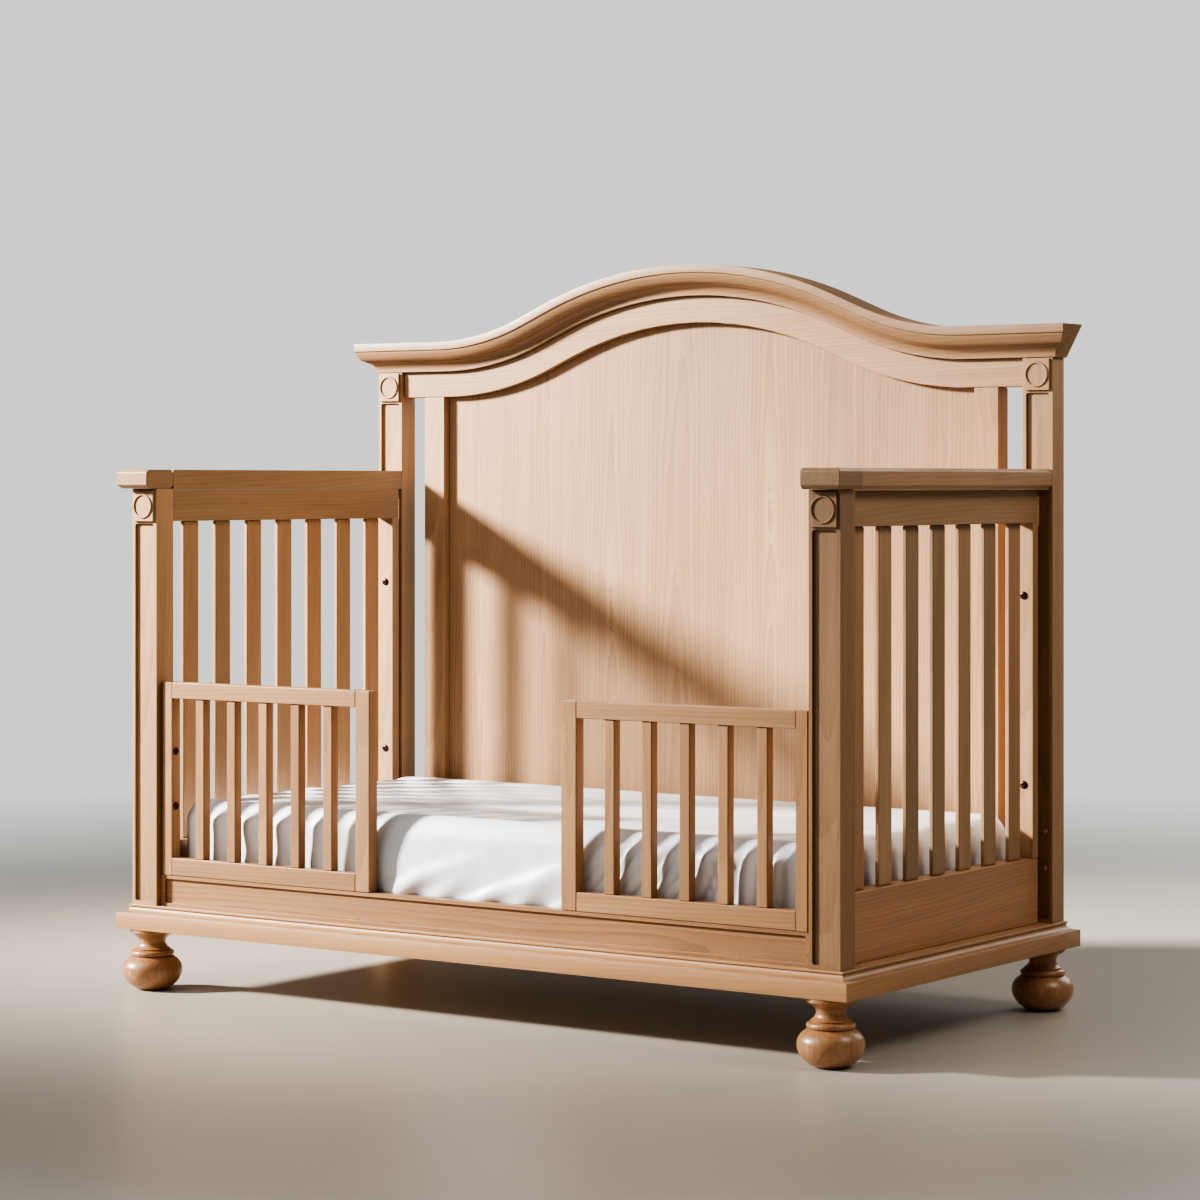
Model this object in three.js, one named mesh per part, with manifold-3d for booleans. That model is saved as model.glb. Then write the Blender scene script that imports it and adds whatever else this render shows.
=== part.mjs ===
// Convertible baby crib in its toddler-bed form: an arched headboard along the back, two slatted
// sides with capped arms, a low front rail that carries two short guard rails, a moulded plinth
// on four turned feet, and a mattress on a slatted support.
//
// Millimetres. X runs along the bed, Y from the open front to the headboard, Z up. Inside the
// group, Y is measured from the plinth's front face; the group then centres the whole footprint.

import * as THREE from 'three';
import { mergeVertices } from 'three/addons/utils/BufferGeometryUtils.js';
import Module from 'manifold-3d';

const wasm = await Module();
wasm.setup();
const { Manifold, Mesh: SolidMesh } = wasm;

// ---- driving dimensions -------------------------------------------------------------------

const GAP = 0.3;                       // clearance between neighbouring pieces

const PLINTH_LENGTH = 1500;
const PLINTH_DEPTH = 770.5;
const PLINTH_BOTTOM = 107;
const PLINTH_TOP = 150;
const PLINTH_BOARD_WIDTH = 90;

const FOOT_INSET_X = 51;               // foot axis to the plinth's end face
const FOOT_INSET_Y = 39;               // foot axis to the plinth's front or back face

const POST_INNER_X = 671.4;
const POST_WIDTH = 56.4;
const FRONT_POST_Y = 19;
const FRONT_POST_DEPTH = 44;
const BACK_POST_Y = 711.5;
const BACK_POST_DEPTH = 41.2;
const POST_RECESS_DEPTH = 5;

const ARM_BOTTOM = 881;
const ARM_TOP = 916.5;
const ARM_BLOCK_FRONT_Y = -6.5;
const ARM_BLOCK_OVERHANG = 14.2;       // arm block beyond the post's outer face

const SIDE_THICKNESS = 34;
const SIDE_END_Y = 702.4;              // back end of the side frame, a shadow gap ahead of the post
const SIDE_STILE_DEPTH = 20;
const LOWER_RAIL_TOP = 260.5;
const SIDE_UPPER_RAIL_BOTTOM = 825.5;
const SIDE_SLATS = 7;
const SIDE_SLAT_WIDTH = 40;
const SIDE_SLAT_THICKNESS = 8;
const SIDE_SLAT_FIRST_Y = 106.8;       // slat's nearer edge to the plinth's front face
const SIDE_SLAT_PITCH = 85.6;

const CROWN_BOTTOM = 1105.5;           // underside of the crown on its flat shoulders
const CROWN_HEIGHT = 55.5;
const CROWN_FRONT_OVERHANG = 32;       // beyond the back posts' front faces
const CROWN_END_EXTRA = 4;             // further overhang at the ends
const ARCH_RISE = 126.7;
const ARCH_TOP_RADIUS = 800;
const ARCH_SHOULDER_RADIUS = 500;
const ARCH_ANGLE = THREE.MathUtils.degToRad(23);
const ARCH_STEPS = 7;                  // half the facets in each arc

const HEADBOARD_FRONT_Y = BACK_POST_Y + 7;
const HEADBOARD_RAIL_DEPTH = 48.5;     // height of the arched rail on its shoulders
const HEADBOARD_STILE_INNER_X = 573.7;
const HEADBOARD_STILE_WIDTH = 47.5;
const PANEL_SETBACK = 15;
const PANEL_THICKNESS = 12;

const FRONT_RAIL_Y = FRONT_POST_Y + 10;
const FRONT_RAIL_THICKNESS = 22;
const FRONT_RAIL_TOP = 204.5;

const GUARD_Y = FRONT_POST_Y + 8.3;
const GUARD_THICKNESS = 22.3;
const GUARD_TOP = 543.5;
const GUARD_INNER_X = 198.2;           // guard's free end to the bed's middle
const GUARD_INNER_STILE_WIDTH = 30.3;
const GUARD_OUTER_STILE_X = 643.1;
const GUARD_OUTER_STILE_WIDTH = 20.3;
const GUARD_RAIL_HEIGHT = 28.5;
const GUARD_LOWER_RAIL_HEIGHT = 30.7;
const GUARD_SLATS = 5;
const GUARD_SLAT_WIDTH = 19;
const GUARD_SLAT_THICKNESS = 18;

const SUPPORT_TOP = 189.7;
const MATTRESS_BOTTOM = 190;
const MATTRESS_TOP = 336;
const MATTRESS_LENGTH = 1320;
const MATTRESS_FRONT_Y = 54.5;
const MATTRESS_BACK_Y = 711.5;

const BOLT_SHANK_RADIUS = 3;
const BOLT_HOLE_RADIUS = 3.3;
const BOLT_HEAD_RADIUS = 7;
const BOLT_HEAD_HEIGHT = 2.8;
const BOLT_GRIP_IN_POST = 25;
const SIDE_BOLT_HEIGHTS = [384.3, 703.5];
const GUARD_BOLT_HEIGHTS = [326, 422];

// ---- values that follow -------------------------------------------------------------------

const HALF_LENGTH = PLINTH_LENGTH / 2;
const POST_OUTER_X = POST_INNER_X + POST_WIDTH;
const FRONT_POST_BACK_Y = FRONT_POST_Y + FRONT_POST_DEPTH;
const BACK_FACE_Y = BACK_POST_Y + BACK_POST_DEPTH;
const ARM_BLOCK_BOTTOM = ARM_BOTTOM + 2.4;
const CROWN_TOP = CROWN_BOTTOM + CROWN_HEIGHT;
const LEFT_AND_RIGHT = [['left', -1], ['right', 1]];

// The arch is a top arc, a straight and a shoulder arc on each side of the middle, all tangent.
const ARCH_TURN_HEIGHT = (ARCH_TOP_RADIUS + ARCH_SHOULDER_RADIUS) * (1 - Math.cos(ARCH_ANGLE));
const ARCH_STRAIGHT = (ARCH_RISE - ARCH_TURN_HEIGHT) / Math.sin(ARCH_ANGLE);
const ARCH_SHOULDER_X = (ARCH_TOP_RADIUS + ARCH_SHOULDER_RADIUS) * Math.sin(ARCH_ANGLE)
  + ARCH_STRAIGHT * Math.cos(ARCH_ANGLE);

// ---- materials ----------------------------------------------------------------------------

function wood(color, roughness = 0.55) {
  return new THREE.MeshStandardMaterial({ color, roughness, metalness: 0 });
}

const frameWood = wood(0xcfa583);
const slatWood = wood(0xc79b76);
const panelWood = wood(0xd2ab8a);
const footWood = wood(0xb9794a, 0.3);
const supportWood = wood(0xd9bd93, 0.8);
const bronze = new THREE.MeshStandardMaterial({ color: 0x3a2318, roughness: 0.4, metalness: 0.8 });
const satin = new THREE.MeshStandardMaterial({ color: 0xf4f5f7, roughness: 0.6, metalness: 0 });

// ---- solids -------------------------------------------------------------------------------

const crib = new THREE.Group();
crib.position.y = -PLINTH_DEPTH / 2;

function addPiece(name, geometry, material) {
  const piece = new THREE.Mesh(geometry, material);
  piece.name = name;
  crib.add(piece);
}

function toSolid(geometry) {
  const bare = geometry.clone();
  bare.deleteAttribute('normal');
  bare.deleteAttribute('uv');
  const merged = mergeVertices(bare, 1e-3);
  return new Manifold(new SolidMesh({
    numProp: 3,
    vertProperties: new Float32Array(merged.attributes.position.array),
    triVerts: new Uint32Array(merged.index.array),
  }));
}

function toGeometry(solid) {
  const { vertProperties, triVerts } = solid.getMesh();
  const geometry = new THREE.BufferGeometry();
  geometry.setAttribute('position', new THREE.BufferAttribute(vertProperties, 3));
  geometry.setIndex(new THREE.BufferAttribute(triVerts, 1));
  geometry.computeVertexNormals();
  return geometry;
}

function cut(body, ...tools) {
  return toGeometry(tools.reduce((solid, tool) => solid.subtract(toSolid(tool)), toSolid(body)));
}

function join(...bodies) {
  return toGeometry(bodies.map(toSolid).reduce((all, solid) => all.add(solid)));
}

// A block between two corners, given as ranges along X, Y and Z in any order.
function block([x0, x1], [y0, y1], [z0, z1]) {
  const geometry = new THREE.BoxGeometry(Math.abs(x1 - x0), Math.abs(y1 - y0), Math.abs(z1 - z0));
  return geometry.translate((x0 + x1) / 2, (y0 + y1) / 2, (z0 + z1) / 2);
}

// An outline drawn in X and Z, given thickness along Y from frontY backwards.
function board(outline, frontY, thickness, curveSegments = 6) {
  const options = { depth: thickness, bevelEnabled: false, curveSegments };
  const geometry = new THREE.ExtrudeGeometry(outline, options);
  return geometry.rotateX(Math.PI / 2).translate(0, frontY + thickness, 0);
}

function roundedOutline(x0, x1, z0, z1, radius) {
  const outline = new THREE.Shape();
  outline.moveTo(x0 + radius, z0);
  outline.absarc(x1 - radius, z0 + radius, radius, -Math.PI / 2, 0);
  outline.absarc(x1 - radius, z1 - radius, radius, 0, Math.PI / 2);
  outline.absarc(x0 + radius, z1 - radius, radius, Math.PI / 2, Math.PI);
  outline.absarc(x0 + radius, z0 + radius, radius, Math.PI, Math.PI * 1.5);
  return outline;
}

// A closed skin through rings of the same even number of points. Each end is closed by strips
// between the ring's first half and its second half.
function loft(rings) {
  const size = rings[0].length;
  const corners = rings.flat().flatMap((point) => [point.x, point.y, point.z]);
  const faces = [];
  const quad = (a, b, c, d) => faces.push(a, b, c, a, c, d);
  for (let ring = 0; ring < rings.length - 1; ring += 1) {
    for (let k = 0; k < size; k += 1) {
      const next = (k + 1) % size;
      const here = ring * size;
      quad(here + k, here + next, here + size + next, here + size + k);
    }
  }
  const last = (rings.length - 1) * size;
  for (let k = 0; k < size / 2 - 1; k += 1) {
    const [a, b, c, d] = [k, k + 1, size - 2 - k, size - 1 - k];
    quad(d, c, b, a);
    quad(last + a, last + b, last + c, last + d);
  }
  const geometry = new THREE.BufferGeometry();
  geometry.setAttribute('position', new THREE.Float32BufferAttribute(corners, 3));
  geometry.setIndex(faces);
  geometry.computeVertexNormals();
  return geometry;
}

// A turned solid standing on the plane Z = 0, from its outline as [radius, height] pairs.
function turned(outline, segments) {
  const points = outline.map(([radius, height]) => new THREE.Vector2(radius, height));
  return new THREE.LatheGeometry(points, segments).rotateX(Math.PI / 2);
}

// Points of a quarter ellipse about (centreR, centreH), from one angle to another in degrees.
function arcPoints(centreR, centreH, radiusR, radiusH, from, to, steps) {
  return Array.from({ length: steps + 1 }, (_, k) => {
    const angle = THREE.MathUtils.degToRad(from + ((to - from) * k) / steps);
    return [centreR + radiusR * Math.cos(angle), centreH + radiusH * Math.sin(angle)];
  });
}

// ---- plinth and feet ----------------------------------------------------------------------

// The plinth's moulding as [inset from its face, height]: fascia, quirk, cove and top fillet.
const PLINTH_PROFILE = [
  [0.8, PLINTH_BOTTOM],
  [0, PLINTH_BOTTOM + 0.8],
  [0, PLINTH_TOP - 15.8],
  [0.8, PLINTH_TOP - 15],
  [5.5, PLINTH_TOP - 15],
  ...arcPoints(5.5, PLINTH_TOP - 4.2, 12.5, 10, -90, 0, 5),
  [16, PLINTH_TOP - 3.6],
  [16, PLINTH_TOP],
];

// One plinth board: the moulding's levels stacked, with a ring of four corners at each.
function plinthBoard(cornersAt) {
  const rings = PLINTH_PROFILE.map(([inset, height]) => cornersAt(inset)
    .map(([x, y]) => new THREE.Vector3(x, y, height)));
  return loft(rings);
}

const PLINTH_JOINT_Y = BACK_POST_Y + 1;

function addPlinth() {
  addPiece('plinth_front', plinthBoard((inset) => [
    [-HALF_LENGTH + inset, inset],
    [HALF_LENGTH - inset, inset],
    [HALF_LENGTH - PLINTH_BOARD_WIDTH, PLINTH_BOARD_WIDTH],
    [-HALF_LENGTH + PLINTH_BOARD_WIDTH, PLINTH_BOARD_WIDTH],
  ]), frameWood);
  addPiece('plinth_back', plinthBoard((inset) => [
    [-HALF_LENGTH + inset, PLINTH_JOINT_Y],
    [HALF_LENGTH - inset, PLINTH_JOINT_Y],
    [HALF_LENGTH - inset, PLINTH_DEPTH - inset],
    [-HALF_LENGTH + inset, PLINTH_DEPTH - inset],
  ]), frameWood);
  for (const [side, sign] of LEFT_AND_RIGHT) {
    const corners = (inset) => [
      [sign * (HALF_LENGTH - inset), inset + GAP],
      [sign * (HALF_LENGTH - inset), PLINTH_JOINT_Y - GAP],
      [sign * (HALF_LENGTH - PLINTH_BOARD_WIDTH), PLINTH_JOINT_Y - GAP],
      [sign * (HALF_LENGTH - PLINTH_BOARD_WIDTH), PLINTH_BOARD_WIDTH + GAP],
    ];
    const outward = sign > 0 ? corners : (inset) => corners(inset).reverse();
    addPiece(`plinth_${side}`, plinthBoard(outward), frameWood);
  }
}

// Bun foot: a flattened ball, a half-round ring, a waisted neck and a round top flange.
const FOOT_HEIGHT = PLINTH_BOTTOM - GAP;
const FOOT_OUTLINE = [
  [0, 0],
  ...arcPoints(0, 35.8, 52.7, 40, -63.5, 0, 4),
  ...arcPoints(0, 35.8, 52.7, 32, 16, 46, 2),
  ...arcPoints(34, 64.2, 4.2, 4.8, -90, 90, 3),
  [30.5, 70.5],
  ...arcPoints(36.5, 84, 13.3, 12.5, 245, 115, 4),
  ...arcPoints(35.5, 102.5, 3.2, 3.2, -80, 20, 2),
  [38.7, FOOT_HEIGHT],
  [0, FOOT_HEIGHT],
];

function addFeet() {
  const rows = [['front', FOOT_INSET_Y], ['back', PLINTH_DEPTH - FOOT_INSET_Y]];
  for (const [row, y] of rows) {
    for (const [side, sign] of LEFT_AND_RIGHT) {
      const foot = turned(FOOT_OUTLINE, 24);
      foot.translate(sign * (HALF_LENGTH - FOOT_INSET_X), y, 0);
      addPiece(`foot_${row}_${side}`, foot, footWood);
    }
  }
}

// ---- bolts --------------------------------------------------------------------------------

// A bolt hole along +Y from the origin; the caller turns and places it.
function boltHole(length) {
  return new THREE.CylinderGeometry(BOLT_HOLE_RADIUS, BOLT_HOLE_RADIUS, length, 12)
    .translate(0, length / 2, 0);
}

// A domed socket-head bolt pointing along +Y, with the underside of its head at the origin.
function bolt(length) {
  const outline = [
    [0, length],
    [BOLT_SHANK_RADIUS, length],
    [BOLT_SHANK_RADIUS, 0],
    [BOLT_HEAD_RADIUS, 0],
    ...arcPoints(0, -0.8, BOLT_HEAD_RADIUS, BOLT_HEAD_HEIGHT - 0.8, 0, -64, 2),
    [0, -BOLT_HEAD_HEIGHT],
  ];
  const points = outline.map(([radius, height]) => new THREE.Vector2(radius, height)).reverse();
  const socket = new THREE.CylinderGeometry(2.4, 2.4, 4, 6).translate(0, -2.9, 0);
  return cut(new THREE.LatheGeometry(points, 12), socket);
}

// ---- posts --------------------------------------------------------------------------------

// The square block and raised ring at the head of a post's front face.
function rosette(middleX, faceY, middleZ) {
  const plate = block([middleX - 23.5, middleX + 23.5], [faceY - 5, faceY + 1],
    [middleZ - 26.5, middleZ + 26.5]);
  const rimOutline = [
    [18.3, -1],
    [22, -1],
    ...arcPoints(20.15, 1.2, 1.85, 1.3, 0, 180, 3),
    [18.3, -1],
  ];
  const rim = turned(rimOutline, 32).rotateX(Math.PI / 2);
  return [plate, rim.translate(middleX, faceY - 5, middleZ)];
}

// A post with a routed panel in its front face. The rosette's middle is at rosetteZ.
function post(sign, frontY, depth, top, rosetteZ) {
  const middleX = sign * (POST_INNER_X + POST_WIDTH / 2);
  const half = POST_WIDTH / 2;
  const body = block([middleX - half, middleX + half], [frontY, frontY + depth],
    [PLINTH_TOP + GAP, top]);
  const panel = roundedOutline(middleX - 22, middleX + 22, PLINTH_TOP + 7, rosetteZ - 31, 4.5);
  const routed = cut(body, board(panel, frontY - 1, POST_RECESS_DEPTH + 1, 4));
  return join(routed, ...rosette(middleX, frontY, rosetteZ));
}

const SIDE_MIDDLE_X = POST_INNER_X + SIDE_THICKNESS / 2;
const SIDE_STILE_Y = SIDE_END_Y - SIDE_STILE_DEPTH;
const GUARD_MIDDLE_Y = GUARD_Y + GUARD_THICKNESS / 2;

// Holes for the side bolts, which run towards +Y from the back stile's front face.
function sideBoltHoles(sign, length) {
  return SIDE_BOLT_HEIGHTS.map((height) => boltHole(length)
    .translate(sign * SIDE_MIDDLE_X, SIDE_STILE_Y - 1, height));
}

// Holes for the guard bolts, which run outwards from the guard's outer stile.
function guardBoltHoles(sign, length) {
  return GUARD_BOLT_HEIGHTS.map((height) => boltHole(length)
    .rotateZ(-sign * Math.PI / 2)
    .translate(sign * (GUARD_OUTER_STILE_X - 1), GUARD_MIDDLE_Y, height));
}

const SIDE_BOLT_LENGTH = BACK_POST_Y + BOLT_GRIP_IN_POST - SIDE_STILE_Y;
const GUARD_BOLT_LENGTH = POST_INNER_X + BOLT_GRIP_IN_POST - GUARD_OUTER_STILE_X;

function addPosts() {
  for (const [side, sign] of LEFT_AND_RIGHT) {
    const front = post(sign, FRONT_POST_Y, FRONT_POST_DEPTH, ARM_BLOCK_BOTTOM - GAP, 852.5);
    const back = post(sign, BACK_POST_Y, BACK_POST_DEPTH, CROWN_BOTTOM - GAP, 1077);
    addPiece(`front_post_${side}`, cut(front, ...guardBoltHoles(sign, GUARD_BOLT_LENGTH + 2)),
      frameWood);
    addPiece(`back_post_${side}`, cut(back, ...sideBoltHoles(sign, SIDE_BOLT_LENGTH + 2)),
      frameWood);
  }
}

// ---- sides --------------------------------------------------------------------------------

// The arm's cap board, chamfered above and below along its outer edge, with a fillet under it.
function armCap(sign) {
  const outline = new THREE.Shape();
  const outer = POST_OUTER_X;
  const points = [
    [POST_INNER_X, ARM_BOTTOM + GAP], [outer - 6, ARM_BOTTOM + GAP],
    [outer - 6, ARM_BLOCK_BOTTOM], [outer, ARM_BLOCK_BOTTOM + 6.2],
    [outer, ARM_TOP - 5.1], [outer - 5.5, ARM_TOP], [POST_INNER_X, ARM_TOP],
  ];
  points.forEach(([x, z], k) => (k ? outline.lineTo(sign * x, z) : outline.moveTo(sign * x, z)));
  const startY = FRONT_POST_BACK_Y + GAP;
  return board(outline, startY, BACK_POST_Y - GAP - startY);
}

// The block that crowns a front post, chamfered on its front, outer and back edges.
function armBlock(sign) {
  const levels = [[6, ARM_BLOCK_BOTTOM], [0, ARM_BLOCK_BOTTOM + 6.2], [0, ARM_TOP - 5.1],
    [5.5, ARM_TOP]];
  const outer = POST_OUTER_X + ARM_BLOCK_OVERHANG;
  const rings = levels.map(([inset, height]) => {
    const near = ARM_BLOCK_FRONT_Y + inset;
    const far = FRONT_POST_BACK_Y - inset;
    const corners = [[POST_INNER_X, near], [outer - inset, near], [outer - inset, far],
      [POST_INNER_X, far]];
    const ring = corners.map(([x, y]) => new THREE.Vector3(sign * x, y, height));
    return sign > 0 ? ring : ring.reverse();
  });
  return loft(rings);
}

// The back stile, with a narrower tongue that closes the shadow gap to the back post.
function sideStile(sign) {
  const heights = [LOWER_RAIL_TOP + GAP, SIDE_UPPER_RAIL_BOTTOM - GAP];
  const body = block([sign * POST_INNER_X, sign * (POST_INNER_X + SIDE_THICKNESS)],
    [SIDE_STILE_Y, SIDE_END_Y], heights);
  const tongue = block([sign * (SIDE_MIDDLE_X - 8), sign * (SIDE_MIDDLE_X + 8)],
    [SIDE_END_Y - 1, BACK_POST_Y - GAP], heights);
  return cut(join(body, tongue), ...sideBoltHoles(sign, 40));
}

function addSides() {
  for (const [side, sign] of LEFT_AND_RIGHT) {
    const thickness = [sign * POST_INNER_X, sign * (POST_INNER_X + SIDE_THICKNESS)];
    const length = [FRONT_POST_BACK_Y + GAP, SIDE_END_Y];
    addPiece(`arm_cap_${side}`, armCap(sign), frameWood);
    addPiece(`arm_block_${side}`, armBlock(sign), frameWood);
    addPiece(`side_upper_rail_${side}`,
      block(thickness, length, [SIDE_UPPER_RAIL_BOTTOM, ARM_BOTTOM]), frameWood);
    addPiece(`side_lower_rail_${side}`,
      block(thickness, length, [PLINTH_TOP + GAP, LOWER_RAIL_TOP]), frameWood);
    addPiece(`side_stile_${side}`, sideStile(sign), frameWood);
    const half = SIDE_SLAT_THICKNESS / 2;
    for (let k = 0; k < SIDE_SLATS; k += 1) {
      const start = SIDE_SLAT_FIRST_Y + k * SIDE_SLAT_PITCH;
      const slat = block([sign * (SIDE_MIDDLE_X + 2 - half), sign * (SIDE_MIDDLE_X + 2 + half)],
        [start, start + SIDE_SLAT_WIDTH], [LOWER_RAIL_TOP + GAP, SIDE_UPPER_RAIL_BOTTOM - GAP]);
      addPiece(`side_slat_${side}_${k + 1}`, slat, slatWood);
    }
    SIDE_BOLT_HEIGHTS.forEach((height, k) => {
      const piece = bolt(SIDE_BOLT_LENGTH);
      piece.translate(sign * SIDE_MIDDLE_X, SIDE_STILE_Y - GAP, height);
      addPiece(`side_bolt_${side}_${k + 1}`, piece, bronze);
    });
  }
}

// ---- headboard ----------------------------------------------------------------------------

// Adds the arch to a path, left to right for direction 1 and right to left for -1. The curve
// lies drop below the crown's top edge, square to it.
function traceArch(path, drop, direction) {
  const start = -direction;
  const topRadius = ARCH_TOP_RADIUS - drop;
  const shoulderRadius = ARCH_SHOULDER_RADIUS + drop;
  const shoulderMiddle = CROWN_TOP + ARCH_SHOULDER_RADIUS;
  const topMiddle = CROWN_TOP + ARCH_RISE - ARCH_TOP_RADIUS;
  const down = -Math.PI / 2;
  const up = Math.PI / 2;
  path.absarc(start * ARCH_SHOULDER_X, shoulderMiddle, shoulderRadius,
    down, down - start * ARCH_ANGLE, start > 0);
  path.absarc(0, topMiddle, topRadius, up - start * ARCH_ANGLE, up + start * ARCH_ANGLE, start < 0);
  path.absarc(-start * ARCH_SHOULDER_X, shoulderMiddle, shoulderRadius,
    down + start * ARCH_ANGLE, down, start > 0);
}

// The crown's moulding as [drop from the top edge, front overhang]: band, ovolo, cove, fillet.
const CROWN_PROFILE = [
  [0, CROWN_FRONT_OVERHANG],
  [15.5, CROWN_FRONT_OVERHANG],
  [17, 29.5],
  ...arcPoints(17, 19, 17, 10.5, 72, 0, 3),
  [34.6, 15.5],
  ...arcPoints(50, 15, 14, 10, 200, 270, 3),
  [CROWN_HEIGHT, 5],
];

// The arched line lying drop below the top edge, from end to end.
function archPoints(drop, halfWidth) {
  const arch = new THREE.Path();
  traceArch(arch, drop, 1);
  const ends = [-1, 1].map((sign) => new THREE.Vector2(sign * halfWidth, CROWN_TOP - drop));
  return [ends[0], ...arch.getPoints(ARCH_STEPS), ends[1]];
}

// The crown: its moulding follows the arch along the front and returns along both ends.
function crown() {
  const lines = CROWN_PROFILE.map(([drop, overhang]) => {
    const halfWidth = POST_OUTER_X + CROWN_END_EXTRA + overhang;
    const points = archPoints(drop, halfWidth);
    return { frontY: BACK_POST_Y - overhang, points };
  });
  const rings = lines[0].points.map((_, k) => {
    const front = lines.map(({ frontY, points }) => {
      const { x, y: height } = points[k];
      return new THREE.Vector3(x, frontY, height);
    });
    const back = front.map(({ x, z }) => new THREE.Vector3(x, BACK_FACE_Y, z)).reverse();
    return [...front, ...back];
  });
  return loft(rings);
}

// A board between two arched edges, each given by its drop below the crown's top edge.
function archedBoard(halfWidth, upperDrop, lowerDrop, frontY, thickness) {
  const outline = new THREE.Shape();
  outline.moveTo(-halfWidth, CROWN_TOP - upperDrop);
  outline.lineTo(-halfWidth, CROWN_TOP - lowerDrop);
  traceArch(outline, lowerDrop, 1);
  outline.lineTo(halfWidth, CROWN_TOP - lowerDrop);
  outline.lineTo(halfWidth, CROWN_TOP - upperDrop);
  traceArch(outline, upperDrop, -1);
  outline.closePath();
  return board(outline, frontY, thickness, ARCH_STEPS);
}

// The flat panel under the arched rail, with a straight lower edge.
function archedPanel(halfWidth, upperDrop, bottom, frontY, thickness) {
  const outline = new THREE.Shape();
  outline.moveTo(-halfWidth, bottom);
  outline.lineTo(halfWidth, bottom);
  outline.lineTo(halfWidth, CROWN_TOP - upperDrop);
  traceArch(outline, upperDrop, -1);
  outline.lineTo(-halfWidth, CROWN_TOP - upperDrop);
  return board(outline, frontY, thickness, ARCH_STEPS);
}

function addHeadboard() {
  const railThickness = BACK_FACE_Y - HEADBOARD_FRONT_Y;
  const railLowerDrop = CROWN_HEIGHT + HEADBOARD_RAIL_DEPTH;
  const railHalf = POST_INNER_X - GAP;
  const depth = [HEADBOARD_FRONT_Y, BACK_FACE_Y];
  addPiece('crown', crown(), frameWood);
  addPiece('headboard_arched_rail',
    archedBoard(railHalf, CROWN_HEIGHT + GAP, railLowerDrop, HEADBOARD_FRONT_Y, railThickness),
    frameWood);
  addPiece('headboard_lower_rail',
    block([-railHalf, railHalf], depth, [PLINTH_TOP + GAP, LOWER_RAIL_TOP]), frameWood);
  const panelHalf = HEADBOARD_STILE_INNER_X - GAP;
  addPiece('headboard_panel',
    archedPanel(panelHalf, railLowerDrop + GAP, LOWER_RAIL_TOP + GAP,
      HEADBOARD_FRONT_Y + PANEL_SETBACK, PANEL_THICKNESS), panelWood);
  for (const [side, sign] of LEFT_AND_RIGHT) {
    const width = [sign * HEADBOARD_STILE_INNER_X,
      sign * (HEADBOARD_STILE_INNER_X + HEADBOARD_STILE_WIDTH)];
    addPiece(`headboard_stile_${side}`,
      block(width, depth, [LOWER_RAIL_TOP + GAP, CROWN_TOP - railLowerDrop - GAP]), frameWood);
  }
}

// ---- front rail and guards ----------------------------------------------------------------

function frontRail() {
  const half = POST_INNER_X - GAP;
  const body = block([-half, half], [FRONT_RAIL_Y, FRONT_RAIL_Y + FRONT_RAIL_THICKNESS],
    [PLINTH_TOP + GAP, FRONT_RAIL_TOP]);
  const panel = roundedOutline(-half + 10.5, half - 10.5, PLINTH_TOP + 5.5, FRONT_RAIL_TOP - 6.5, 4.5);
  return cut(body, board(panel, FRONT_RAIL_Y - 1, 6, 4));
}

// The guard's outer stile, with a tongue that closes the shadow gap to the front post.
function guardOuterStile(sign, heights) {
  const inner = GUARD_OUTER_STILE_X;
  const body = block([sign * inner, sign * (inner + GUARD_OUTER_STILE_WIDTH)],
    [GUARD_Y, GUARD_Y + GUARD_THICKNESS], heights);
  const tongue = block(
    [sign * (inner + GUARD_OUTER_STILE_WIDTH - 1), sign * (POST_INNER_X - GAP)],
    [GUARD_MIDDLE_Y - 6, GUARD_MIDDLE_Y + 6], heights);
  return cut(join(body, tongue), ...guardBoltHoles(sign, 40));
}

// The guard's two rails with its slats glued between them.
function guardLadder(sign, bottom) {
  const inner = GUARD_INNER_X + GUARD_INNER_STILE_WIDTH + GAP;
  const outer = GUARD_OUTER_STILE_X - GAP;
  const width = [sign * inner, sign * outer];
  const thickness = [GUARD_Y, GUARD_Y + GUARD_THICKNESS];
  const rails = [
    block(width, thickness, [bottom, bottom + GUARD_LOWER_RAIL_HEIGHT]),
    block(width, thickness, [GUARD_TOP - GUARD_RAIL_HEIGHT, GUARD_TOP]),
  ];
  const opening = (outer - inner - GUARD_SLATS * GUARD_SLAT_WIDTH) / (GUARD_SLATS + 1);
  const slatFront = GUARD_Y + 2.7;
  const slats = Array.from({ length: GUARD_SLATS }, (_, k) => {
    const start = inner + opening + k * (opening + GUARD_SLAT_WIDTH);
    return block([sign * start, sign * (start + GUARD_SLAT_WIDTH)],
      [slatFront, slatFront + GUARD_SLAT_THICKNESS],
      [bottom + GUARD_LOWER_RAIL_HEIGHT - 1, GUARD_TOP - GUARD_RAIL_HEIGHT + 1]);
  });
  return join(...rails, ...slats);
}

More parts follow.
